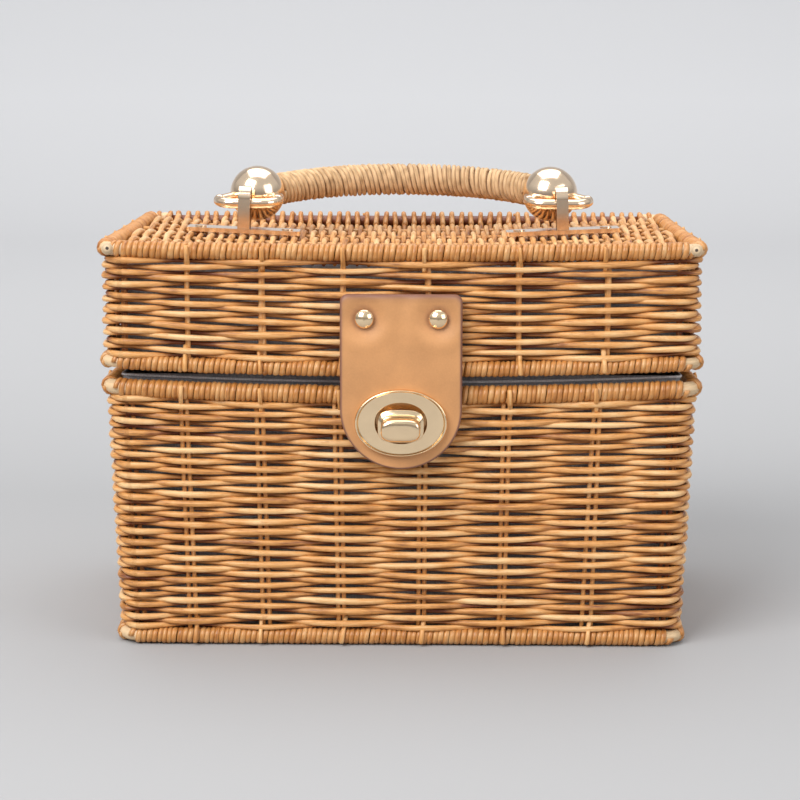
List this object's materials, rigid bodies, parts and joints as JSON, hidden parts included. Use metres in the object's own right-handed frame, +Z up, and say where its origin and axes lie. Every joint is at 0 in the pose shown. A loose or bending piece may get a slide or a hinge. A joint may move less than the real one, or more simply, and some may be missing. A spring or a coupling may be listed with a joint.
{
  "type": "basket box bag",
  "caption": "Rectangular woven wicker box bag with a hinged lid, leather clasp tab with a turn lock, fabric lining and a twine-wrapped handle that folds flat.",
  "frame": {"origin": "middle of the underside, on the surface that the bag stands on", "axes": "+X to the wearer's right seen from the front, -Y out of the front with the clasp, +Z up"},
  "size_m": [0.2238, 0.1634, 0.1752],
  "materials": {
    "wicker": "honey-brown stained willow rods, satin",
    "peel": "split peel wound round the rims, satin",
    "cane": "bare cane",
    "lining": "grey woven lining",
    "leather": "smooth tan leather with cut edges",
    "gold": "polished pale gold plating",
    "twine": "twisted straw twine"
  },
  "bodies": {
    "base": {"base_floor": "wicker", "base_front_weave": "wicker", "base_back_weave": "wicker", "base_left_weave": "wicker", "base_right_weave": "wicker", "base_corner_weave": "wicker", "base_foot_rim": "peel", "base_mouth_rim": "peel", "base_lining": "lining", "left_hinge_loop": "cane", "right_hinge_loop": "cane", "lock_plate": "gold", "lock_backing": "gold"},
    "knob": {"turn_knob": "gold"},
    "lid": {"lid_top_weave": "wicker", "lid_front_weave": "wicker", "lid_back_weave": "wicker", "lid_left_weave": "wicker", "lid_right_weave": "wicker", "lid_corner_weave": "wicker", "lid_rim": "peel", "lid_border": "peel", "lid_lining": "lining", "left_handle_plate": "gold", "right_handle_plate": "gold", "left_bail": "gold", "right_bail": "gold", "plate_rivets": "gold", "plate_backings": "gold", "clasp_tab": "leather", "tab_rivets": "gold"},
    "flap": {"clasp_flap": "leather", "eyelet_plate": "gold", "eyelet_backing": "gold"},
    "handle": {"handle_grip": "twine", "left_ball_end": "gold", "right_ball_end": "gold"}
  },
  "joints": [
    {"name": "lid_hinge", "type": "hinge", "parent": "base", "child": "lid", "pos_m": [0, 0.06925, 0.1081], "axis": [-1, 0, 0], "range_deg": [0, 110]},
    {"name": "clasp_bend", "type": "hinge", "parent": "lid", "child": "flap", "pos_m": [0, -0.0752, 0.1165], "axis": [-1, 0, 0], "range_deg": [0, 75]},
    {"name": "knob_turn", "type": "hinge", "parent": "base", "child": "knob", "pos_m": [0, -0.08, 0.0862], "axis": [0, -1, 0], "range_deg": [0, 90]},
    {"name": "handle_swing", "type": "hinge", "parent": "lid", "child": "handle", "pos_m": [0, -0.006, 0.16153], "axis": [1, 0, 0], "range_deg": [0, 169]}
  ]
}
